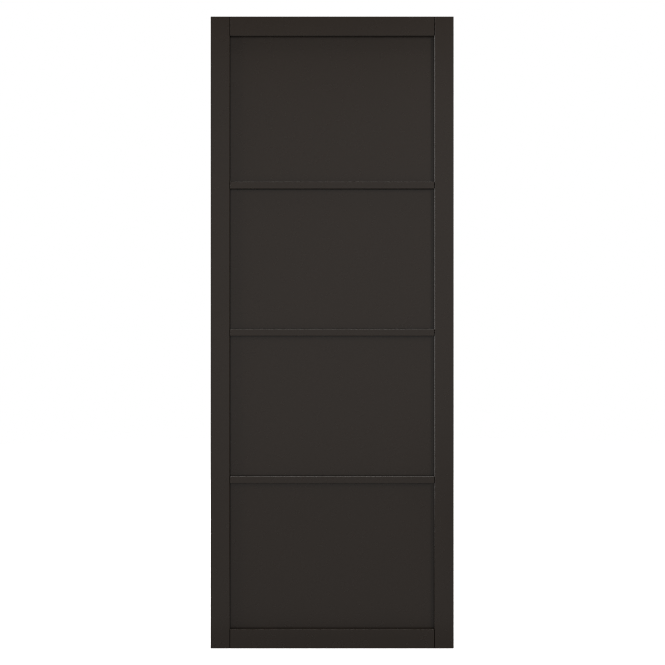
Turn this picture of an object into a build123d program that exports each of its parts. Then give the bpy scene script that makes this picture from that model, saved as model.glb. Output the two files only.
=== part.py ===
"""A panelled door leaf: two stiles, two rails, three bars, four flat panels and the dowels in its joints.

Millimetres, with +Z up. The origin is the middle of the leaf's foot, halfway through its thickness.
The front looks along -Y, and the back is the same as the front.
"""

import os
from dataclasses import dataclass

from build123d import *

# Leaf
leaf_width = 762.0
leaf_height = 1981.0
leaf_thickness = 44.0
edge_arris = 1.0

# Stiles, rails and bars
stile_width = 60.0
top_rail_width = 60.0
bottom_rail_width = 60.0
bar_width = 22.0
bar_pitch = 462.0
panel_arris = 1.5
shoulder_arris = 2.0

# Panels, and the grooves that they stand in
panel_thickness = 16.0
panel_edge_arris = 1.0
panel_edge_gap = 1.0
groove_depth = 7.0
groove_clearance = 0.1

# Stub tenons, which fill the stile grooves at the ends of the rails and bars
tenon_clearance = 0.1
tenon_end_gap = 0.5

# Dowels of the rail joints, and their holes
dowel_diameter = 10.0
dowel_in_rail = 62.0
dowel_cover = 20.0
dowel_clearance = 0.05
dowel_end_gap = 2.0
dowel_end_chamfer = 1.5
dowel_place_shares = (0.25, 0.75)
flute_size = 0.9
flute_count = 10
flute_angle = 45
hole_mouth_chamfer = 1.0
hole_mouth_angle = 90

# Worked out from the sizes above
clear_width = leaf_width - 2 * stile_width
mid_height = leaf_height / 2
groove_width = panel_thickness + 2 * groove_clearance
panel_tongue = groove_depth - panel_edge_gap
tenon_thickness = groove_width - 2 * tenon_clearance
tenon_length = groove_depth - tenon_end_gap
dowel_in_stile = stile_width - dowel_cover - dowel_end_gap
dowel_length = dowel_in_rail + dowel_in_stile
hole_radius = dowel_diameter / 2 + dowel_clearance

# Sides, as signs along X and Z
LEFT = -1
RIGHT = 1
BELOW = -1
ABOVE = 1


@dataclass
class CrossPiece:
    """Where a rail or bar stands between the stiles, and on which sides it holds a panel."""

    name: str
    middle: float
    width: float
    panel_sides: tuple
    dowelled: bool

    @property
    def foot(self):
        return self.middle - self.width / 2

    @property
    def head(self):
        return self.middle + self.width / 2

    @property
    def tenon_foot(self):
        return self.foot + groove_depth if BELOW in self.panel_sides else self.foot

    @property
    def tenon_head(self):
        return self.head - groove_depth if ABOVE in self.panel_sides else self.head

    @property
    def dowel_heights(self):
        tenon_width = self.tenon_head - self.tenon_foot
        place_shares = dowel_place_shares if self.dowelled else ()
        return [self.tenon_foot + share * tenon_width for share in place_shares]


# From the foot up
cross_pieces = [
    CrossPiece("bottom_rail", bottom_rail_width / 2, bottom_rail_width, (ABOVE,), dowelled=True),
    CrossPiece("lower_bar", mid_height - bar_pitch, bar_width, (BELOW, ABOVE), dowelled=False),
    CrossPiece("middle_bar", mid_height, bar_width, (BELOW, ABOVE), dowelled=False),
    CrossPiece("upper_bar", mid_height + bar_pitch, bar_width, (BELOW, ABOVE), dowelled=False),
    CrossPiece("top_rail", leaf_height - top_rail_width / 2, top_rail_width, (BELOW,), dowelled=True),
]
panel_names = ["bottom_panel", "lower_panel", "upper_panel", "top_panel"]
dowel_heights = [height for piece in cross_pieces for height in piece.dowel_heights]


def framing_section(width, panel_sides):
    """Section of a stile, rail or bar: thickness along X, width along Y, with a groove for each panel."""
    Rectangle(leaf_thickness, width)
    for side in panel_sides:
        corners = vertices().sort_by(Axis.Y, reverse=side == ABOVE)[:2]
        chamfer(corners, panel_arris)
    for side in panel_sides:
        with Locations((0, side * (width - groove_depth) / 2)):
            Rectangle(groove_width, groove_depth, mode=Mode.SUBTRACT)


def dowel_hole(depth):
    """A blind hole with an eased mouth, drilled against the Z of the current location."""
    CounterSinkHole(hole_radius, hole_radius + hole_mouth_chamfer, depth, hole_mouth_angle)


# The whole leaf as it is trimmed, with its arrises eased
with BuildPart(Plane.XY.offset(mid_height)) as leaf_blank:
    Box(leaf_width, leaf_thickness, leaf_height)
    chamfer(leaf_blank.edges(), edge_arris)


def make_stile(side):
    """An upright, grooved over its whole height on the panel side and drilled for the rails' dowels."""
    middle = (side * (leaf_width - stile_width) / 2, 0, mid_height)
    groove_bottom = side * (clear_width / 2 + groove_depth)
    with BuildPart() as stile:
        with BuildSketch(Plane(middle, x_dir=(0, -1, 0), z_dir=(0, 0, 1))):
            framing_section(stile_width, [-side])
        extrude(amount=leaf_height / 2, both=True)
        add(leaf_blank.part, mode=Mode.INTERSECT)
        for height in dowel_heights:
            with Locations(Plane((groove_bottom, 0, height), z_dir=(-side, 0, 0))):
                dowel_hole(dowel_in_stile + dowel_end_gap - groove_depth)
    return stile


def make_cross_piece(piece):
    """A rail or bar with eased shoulders, whose web runs on past them as the stub tenons."""
    tenon_end = clear_width / 2 + tenon_length
    with BuildPart() as cross_piece:
        with BuildSketch(Plane.YZ.shift_origin((0, 0, piece.middle))):
            framing_section(piece.width, piece.panel_sides)
        extrude(amount=clear_width / 2, both=True)
        with BuildSketch(Plane.XY.offset(piece.foot)):
            Rectangle(clear_width, leaf_thickness)
            chamfer(vertices(), shoulder_arris)
        extrude(amount=piece.width, mode=Mode.INTERSECT)
        with Locations((0, 0, (piece.tenon_foot + piece.tenon_head) / 2)):
            Box(2 * tenon_end, tenon_thickness, piece.tenon_head - piece.tenon_foot)
        add(leaf_blank.part, mode=Mode.INTERSECT)
        for side in (LEFT, RIGHT):
            for height in piece.dowel_heights:
                with Locations(Plane((side * tenon_end, 0, height), z_dir=(side, 0, 0))):
                    dowel_hole(tenon_length + dowel_in_rail + dowel_end_gap)
    return cross_piece


def make_panel(opening_foot, opening_head):
    """A flat board with eased rims, which reaches into the grooves on all four sides of its opening."""
    panel_height = opening_head - opening_foot + 2 * panel_tongue
    with BuildPart(Plane.XY.offset((opening_foot + opening_head) / 2)) as panel:
        Box(clear_width + 2 * panel_tongue, panel_thickness, panel_height)
        chamfer(panel.faces().filter_by(Axis.Y).edges(), panel_edge_arris)
    return panel


def save(piece, name):
    """Name a finished piece and write it."""
    piece.part.label = name
    export_step(piece.part, f"parts/{name}.step")


os.makedirs("parts", exist_ok=True)

# Stiles
save(make_stile(LEFT), "left_stile")
save(make_stile(RIGHT), "right_stile")

# Rails and bars
for piece in cross_pieces:
    save(make_cross_piece(piece), piece.name)

# Panels, each between two neighbouring cross pieces
for name, lower_piece, upper_piece in zip(panel_names, cross_pieces, cross_pieces[1:]):
    save(make_panel(lower_piece.head, upper_piece.foot), name)

# One fluted dowel with eased ends, along X
with BuildPart() as dowel:
    with BuildSketch(Plane.YZ):
        Circle(dowel_diameter / 2)
    extrude(amount=dowel_length / 2, both=True)
    chamfer(dowel.faces().filter_by(Axis.X).edges(), dowel_end_chamfer)
    with BuildSketch(Plane.YZ):
        with PolarLocations(dowel_diameter / 2, flute_count):
            Rectangle(flute_size, flute_size, rotation=flute_angle)
    extrude(amount=dowel_length / 2, both=True, mode=Mode.SUBTRACT)

# The dowels of both rails, left and right
dowel_middle = (clear_width + dowel_in_stile - dowel_in_rail) / 2
dowel_places = [(side * dowel_middle, 0, height) for side in (LEFT, RIGHT) for height in dowel_heights]
with BuildPart() as rail_dowels:
    with Locations(dowel_places):
        add(dowel.part)
save(rail_dowels, "rail_dowels")
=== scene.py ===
"""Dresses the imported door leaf: satin paint outside, bare wood inside, a pale studio and a camera in front.

Metres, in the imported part's frame: +Z up, the front towards -Y, the origin in the middle of the leaf's foot.
"""

import math
from dataclasses import dataclass

import bpy
from mathutils import Matrix, Vector


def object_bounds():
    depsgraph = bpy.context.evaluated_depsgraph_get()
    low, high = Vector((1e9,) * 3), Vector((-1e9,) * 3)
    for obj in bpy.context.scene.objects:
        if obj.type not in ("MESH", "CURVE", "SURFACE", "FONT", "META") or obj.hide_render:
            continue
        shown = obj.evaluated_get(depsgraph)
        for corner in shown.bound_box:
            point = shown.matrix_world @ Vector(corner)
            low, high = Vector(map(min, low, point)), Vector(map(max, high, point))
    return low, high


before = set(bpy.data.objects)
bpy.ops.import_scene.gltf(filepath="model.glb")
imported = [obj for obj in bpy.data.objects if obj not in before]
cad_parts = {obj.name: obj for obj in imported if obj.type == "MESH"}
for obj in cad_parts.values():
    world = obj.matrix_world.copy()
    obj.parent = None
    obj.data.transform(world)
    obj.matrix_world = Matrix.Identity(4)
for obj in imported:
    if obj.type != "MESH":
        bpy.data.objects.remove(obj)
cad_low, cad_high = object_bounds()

# The leaf, from the frame
leaf_middle = (cad_low + cad_high) / 2
leaf_height = cad_high.z - cad_low.z
front_plane = cad_low.y

# Nodes by finish
UPRIGHTS = ("left_stile", "right_stile")
CROSS_PIECES = ("top_rail", "bottom_rail", "upper_bar", "middle_bar", "lower_bar")
PANELS = ("top_panel", "upper_panel", "lower_panel", "bottom_panel")
DOWELS = ("rail_dowels",)

# Axes and turns
X_AXIS = 0
Z_AXIS = 2
QUARTER_TURN = math.pi / 2
HALF_TURN = math.pi

# The leaf's place in the photo, in pixels of its square frame
PHOTO_SIDE = 665
LEAF_MIDDLE_PIXEL = (332.16, 332.5)
LEAF_HEIGHT_PIXELS = 632.1

# Camera, with the filter's width in pixels
CAMERA_DISTANCE = 3.5
SENSOR_MILLIMETRES = 36.0
FILTER_WIDTH = 1.0

# Paint: linear colours, and the spans of its roughness and of the shade painted into its colour in crevices
PAINT_DARK = (0.0255, 0.0184, 0.0131)
PAINT_LIGHT = (0.0285, 0.0205, 0.0147)
PAINT_SPECULAR = 0.5
PAINT_ROUGHNESS = (0.25, 0.29)
CREVICE_REACH = 0.003
CREVICE_SAMPLES = 8
CREVICE_OPENNESS = (0.5, 1.0)
CREVICE_SHADE = (0.3, 1.0)

# Noises in the paint: the size of their features, and their detail
SHADE_NOISE = (0.30, 3)
GLOSS_NOISE = (0.035, 4)
PEEL_NOISE = (0.0022, 2)
MIST_NOISE = (0.0005, 1)

# What a noise's values lie between, and how high the two fine ones raise the paint
NOISE_SPAN = (0.0, 1.0)
PEEL_HEIGHT = 0.000007
MIST_HEIGHT = 0.000002

# Grain of the timber, under paint and bare
GRAIN_WIDTH = 0.0016
GRAIN_LENGTH = 0.14
GRAIN_HEIGHT = 0.000006
PAINTED_GRAIN_DETAIL = 3
BARE_GRAIN_DETAIL = 4

# Bare wood of the dowels
WOOD_DARK = (0.42, 0.27, 0.15)
WOOD_LIGHT = (0.62, 0.45, 0.28)
WOOD_ROUGHNESS = 0.62

# Floor and backdrop: the floor's glow grows from the first value to the second over its reach
FLOOR_RADIUS = 7.0
FLOOR_CORNERS = 96
FLOOR_TINT = (0.8, 0.8, 0.8)
FLOOR_ROUGHNESS = 1.0
FLOOR_SPECULAR = 0.0
FLOOR_GLOW = (0.80, 1.0)
FLOOR_GLOW_REACH = (0.5, 3.0)
BACKDROP = (1.0, 1.0, 1.0)
AMBIENT = (0.02, 0.02, 0.02)


@dataclass
class Softbox:
    """A rectangular light, the point that it is aimed at, and how bright its face is."""

    name: str
    place: tuple
    aim: tuple
    width: float
    height: float
    radiance: float


# Lights: those for the front stand again behind the leaf, for its back
LIGHT_TINT = (1.0, 0.972, 0.955)
FLOOR_LIGHT_LEVEL = 0.0004
OVERHEAD_LIGHT = Softbox("overhead", (0.0, -0.33, 3.2), (0.0, -0.33, 0.0), 1.8, 0.3, radiance=4.8)
FRONT_LIGHTS = [
    Softbox("front_wall", (0.0, -4.0, 1.54), (0.0, 0.0, 1.54), 3.2, 3.08, radiance=0.52),
    Softbox("right_key", (2.55, -2.55, 2.7), (0.0, 0.0, 1.1), 0.6, 2.2, radiance=12.5),
    Softbox("left_strip", (-2.5, -0.52, 1.7), (0.0, -0.52, 1.7), 0.98, 3.2, radiance=4.1),
    Softbox("left_wall", (-2.3, -1.93, 1.6), (0.0, 0.0, 1.6), 3.0, 3.2, radiance=0.15),
    Softbox("right_wall", (2.3, -1.93, 1.6), (0.0, 0.0, 1.6), 3.0, 3.2, radiance=0.32),
    Softbox("floor_near", (-0.7, -0.15, FLOOR_LIGHT_LEVEL), (-0.7, -0.15, 1.0), 2.6, 0.26, radiance=0.27),
    Softbox("floor_bounce", (-0.6, -1.98, FLOOR_LIGHT_LEVEL), (-0.6, -1.98, 1.0), 2.8, 3.4, radiance=0.385),
]


def add_node(tree, kind, inputs, **settings):
    """Adds a shader node. An input given as a socket is linked, and any other is set."""
    made = tree.nodes.new(kind)
    for name, value in settings.items():
        setattr(made, name, value)
    for name, value in inputs.items():
        if isinstance(value, bpy.types.NodeSocket):
            tree.links.new(value, made.inputs[name])
        else:
            made.inputs[name].default_value = value
    return made


def new_material(name):
    """An empty node material and its tree."""
    material = bpy.data.materials.new(name)
    material.use_nodes = True
    material.node_tree.nodes.clear()
    return material, material.node_tree


def end_material(tree, inputs):
    """Ends a material's tree with one shader and the output."""
    shader = add_node(tree, "ShaderNodeBsdfPrincipled", inputs).outputs["BSDF"]
    add_node(tree, "ShaderNodeOutputMaterial", {"Surface": shader})


def opaque(colour):
    """A linear colour with its alpha."""
    return (*colour, 1)


def object_place(tree):
    """The place on the object, in metres."""
    return add_node(tree, "ShaderNodeTexCoord", {}).outputs["Object"]


def plain_normal(tree):
    """The normal of the surface as it was modelled."""
    return add_node(tree, "ShaderNodeNewGeometry", {}).outputs["Normal"]


def noise(tree, place, size, detail):
    """Noise whose features are about the given size in metres."""
    inputs = {"Vector": place, "Scale": 1 / size, "Detail": detail}
    return add_node(tree, "ShaderNodeTexNoise", inputs).outputs["Fac"]


def grain(tree, place, length_axis, detail):
    """Noise that is drawn out along one axis, as the grain of wood is."""
    scale = [1 / GRAIN_WIDTH] * 3
    scale[length_axis] = 1 / GRAIN_LENGTH
    drawn_out = add_node(tree, "ShaderNodeMapping", {"Vector": place, "Scale": scale}).outputs["Vector"]
    return noise(tree, drawn_out, 1, detail)


def between(tree, value, span, result_span):
    """A number that goes through the second span while a value goes through the first."""
    low, high = span
    result_low, result_high = result_span
    inputs = {
        "Value": value,
        "From Min": low,
        "From Max": high,
        "To Min": result_low,
        "To Max": result_high,
    }
    return add_node(tree, "ShaderNodeMapRange", inputs).outputs["Result"]


def bump(tree, height_share, height, normal):
    """A normal raised by a share of a height in metres, on top of another normal."""
    inputs = {"Height": height_share, "Distance": height, "Normal": normal}
    return add_node(tree, "ShaderNodeBump", inputs).outputs["Normal"]


def colour_mix(tree, share, first, second):
    """A colour between two linear colours, by a share from 0 to 1."""
    ramp = add_node(tree, "ShaderNodeValToRGB", {"Fac": share})
    for element, colour in zip(ramp.color_ramp.elements, (first, second)):
        element.color = opaque(colour)
    return ramp.outputs["Color"]


def painted_crevice_shade(tree, colour):
    """A colour with painted shade: darker where other surfaces close it in."""
    inputs = {"Distance": CREVICE_REACH}
    openness = add_node(tree, "ShaderNodeAmbientOcclusion", inputs, samples=CREVICE_SAMPLES).outputs["AO"]
    shade = between(tree, openness, CREVICE_OPENNESS, CREVICE_SHADE)
    shaded = add_node(tree, "ShaderNodeVectorMath", {"Vector": colour, "Scale": shade}, operation="SCALE")
    return shaded.outputs["Vector"]


def paint(name, grain_axis=None):
    """Sprayed satin paint. On timber, where grain_axis is given, a little grain shows through it."""
    material, tree = new_material(name)
    place = object_place(tree)
    normal = plain_normal(tree)
    if grain_axis is not None:
        normal = bump(tree, grain(tree, place, grain_axis, PAINTED_GRAIN_DETAIL), GRAIN_HEIGHT, normal)
    normal = bump(tree, noise(tree, place, *PEEL_NOISE), PEEL_HEIGHT, normal)
    normal = bump(tree, noise(tree, place, *MIST_NOISE), MIST_HEIGHT, normal)
    colour = colour_mix(tree, noise(tree, place, *SHADE_NOISE), PAINT_DARK, PAINT_LIGHT)
    inputs = {
        # Painted shade: the base colour is darkened in crevices and inner corners, where shade falls
        "Base Color": painted_crevice_shade(tree, colour),
        "Roughness": between(tree, noise(tree, place, *GLOSS_NOISE), NOISE_SPAN, PAINT_ROUGHNESS),
        "Specular IOR Level": PAINT_SPECULAR,
        "Normal": normal,
    }
    end_material(tree, inputs)
    return material


def bare_wood(name, grain_axis):
    """Pale unpainted wood with its grain along one axis."""
    material, tree = new_material(name)
    wood_grain = grain(tree, object_place(tree), grain_axis, BARE_GRAIN_DETAIL)
    inputs = {
        "Base Color": colour_mix(tree, wood_grain, WOOD_DARK, WOOD_LIGHT),
        "Roughness": WOOD_ROUGHNESS,
        "Normal": bump(tree, wood_grain, GRAIN_HEIGHT, plain_normal(tree)),
    }
    end_material(tree, inputs)
    return material


def floor_paper():
    """Pale matt paper, which glows more the farther it lies from the leaf."""
    material, tree = new_material("floor_paper")
    place = object_place(tree)
    reach = add_node(tree, "ShaderNodeVectorMath", {"Vector": place}, operation="LENGTH").outputs["Value"]
    inputs = {
        "Base Color": opaque(FLOOR_TINT),
        "Roughness": FLOOR_ROUGHNESS,
        "Specular IOR Level": FLOOR_SPECULAR,
        "Emission Color": opaque(BACKDROP),
        "Emission Strength": between(tree, reach, FLOOR_GLOW_REACH, FLOOR_GLOW),
    }
    end_material(tree, inputs)
    return material


def dress(nodes, material):
    """Gives CAD nodes a finish."""
    for name in nodes:
        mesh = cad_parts[name].data
        mesh.materials.clear()
        mesh.materials.append(material)


def add_floor():
    """A pale round floor under the leaf, left out of reflections and of bounced light."""
    foot = (0, 0, cad_low.z)
    bpy.ops.mesh.primitive_circle_add(
        vertices=FLOOR_CORNERS, radius=FLOOR_RADIUS, fill_type="NGON", location=foot
    )
    floor = bpy.context.object
    floor.name = "floor"
    floor.visible_diffuse = False
    floor.visible_glossy = False
    floor.data.materials.append(floor_paper())


def add_backdrop():
    """White all round for the camera, and a dim room for everything else."""
    world = bpy.data.worlds.new("studio")
    bpy.context.scene.world = world
    world.use_nodes = True
    tree = world.node_tree
    tree.nodes.clear()
    seen = add_node(tree, "ShaderNodeLightPath", {}).outputs["Is Camera Ray"]
    room = add_node(tree, "ShaderNodeBackground", {"Color": opaque(AMBIENT)}).outputs["Background"]
    white = add_node(tree, "ShaderNodeBackground", {"Color": opaque(BACKDROP)}).outputs["Background"]
    # The two shaders go by number, because their sockets share one name
    mixed = add_node(tree, "ShaderNodeMixShader", {"Fac": seen, 1: room, 2: white}).outputs["Shader"]
    add_node(tree, "ShaderNodeOutputWorld", {"Surface": mixed})


def add_softbox(box, name_ending="", turn=0.0):
    """Adds a softbox, which is turned about the Z axis by an angle."""
    name = box.name + name_ending
    lamp = bpy.data.lights.new(name, "AREA")
    lamp.shape = "RECTANGLE"
    lamp.size = box.width
    lamp.size_y = box.height
    lamp.color = LIGHT_TINT
    lamp.energy = math.pi * box.width * box.height * box.radiance
    turned = Matrix.Rotation(turn, 3, "Z")
    place = turned @ Vector(box.place)
    aim = turned @ Vector(box.aim)
    light = bpy.data.objects.new(name, lamp)
    light.location = place
    light.rotation_mode = "QUATERNION"
    light.rotation_quaternion = (aim - place).to_track_quat("-Z", "Y")
    light.visible_camera = False
    bpy.context.scene.collection.objects.link(light)


def add_lights():
    """One softbox overhead, those for the front, and the same set turned half round for the back."""
    add_softbox(OVERHEAD_LIGHT)
    for box in FRONT_LIGHTS:
        add_softbox(box)
        add_softbox(box, "_back", HALF_TURN)


def add_camera():
    """A level camera straight in front of the leaf, which frames it as the photo does."""
    pixel = leaf_height / LEAF_HEIGHT_PIXELS
    data = bpy.data.cameras.new("camera")
    data.sensor_width = SENSOR_MILLIMETRES
    data.lens = data.sensor_width * CAMERA_DISTANCE / (PHOTO_SIDE * pixel)
    camera = bpy.data.objects.new("camera", data)
    right = (PHOTO_SIDE / 2 - LEAF_MIDDLE_PIXEL[0]) * pixel
    up = (LEAF_MIDDLE_PIXEL[1] - PHOTO_SIDE / 2) * pixel
    camera.location = (leaf_middle.x + right, front_plane - CAMERA_DISTANCE, leaf_middle.z + up)
    camera.rotation_euler = (QUARTER_TURN, 0, 0)
    bpy.context.scene.collection.objects.link(camera)
    bpy.context.scene.camera = camera


def set_film():
    """Plain tones and a narrow pixel filter, for lines as sharp as the photo's."""
    bpy.context.scene.view_settings.view_transform = "Standard"
    bpy.context.scene.cycles.filter_width = FILTER_WIDTH


dress(UPRIGHTS, paint("upright_paint", Z_AXIS))
dress(CROSS_PIECES, paint("cross_paint", X_AXIS))
dress(PANELS, paint("panel_paint"))
dress(DOWELS, bare_wood("dowel_wood", X_AXIS))
add_floor()
add_backdrop()
add_lights()
add_camera()
set_film()
